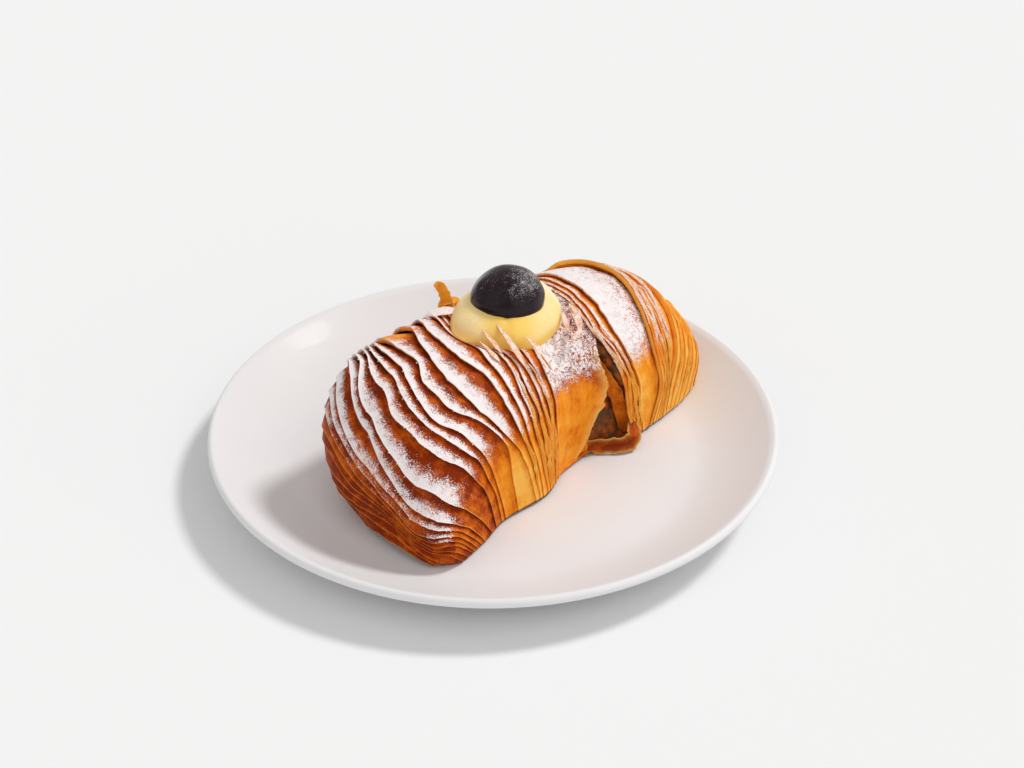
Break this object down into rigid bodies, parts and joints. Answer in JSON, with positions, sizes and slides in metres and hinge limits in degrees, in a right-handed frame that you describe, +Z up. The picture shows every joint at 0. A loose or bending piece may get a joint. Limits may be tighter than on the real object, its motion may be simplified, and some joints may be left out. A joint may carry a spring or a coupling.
{
  "type": "lobster tail pastry on a plate",
  "caption": "Flaky layered lobster tail pastry, filled with custard cream and topped with a dark cherry, on a plain round white plate.",
  "frame": {"origin": "middle of the plate's foot ring, on the table", "axes": "+Z up; the pastry's long direction lies 52 degrees from +X towards +Y, its front end towards -X -Y"},
  "size_m": [0.18, 0.18, 0.0698],
  "materials": {
    "plate_glaze": "smooth warm white glaze",
    "baked_pastry": "crisp baked dough, golden to deep brown, dusted with icing sugar; matte_plastic stands in for food",
    "custard": "smooth pale yellow custard cream; matte_plastic stands in for food",
    "dark_cherry": "glossy dark preserved cherry; gloss_plastic stands in for food"
  },
  "bodies": {
    "root": {"plate": "plate_glaze", "pastry_shell": "baked_pastry", "custard_cream": "custard", "cherry": "dark_cherry"}
  },
  "joints": []
}
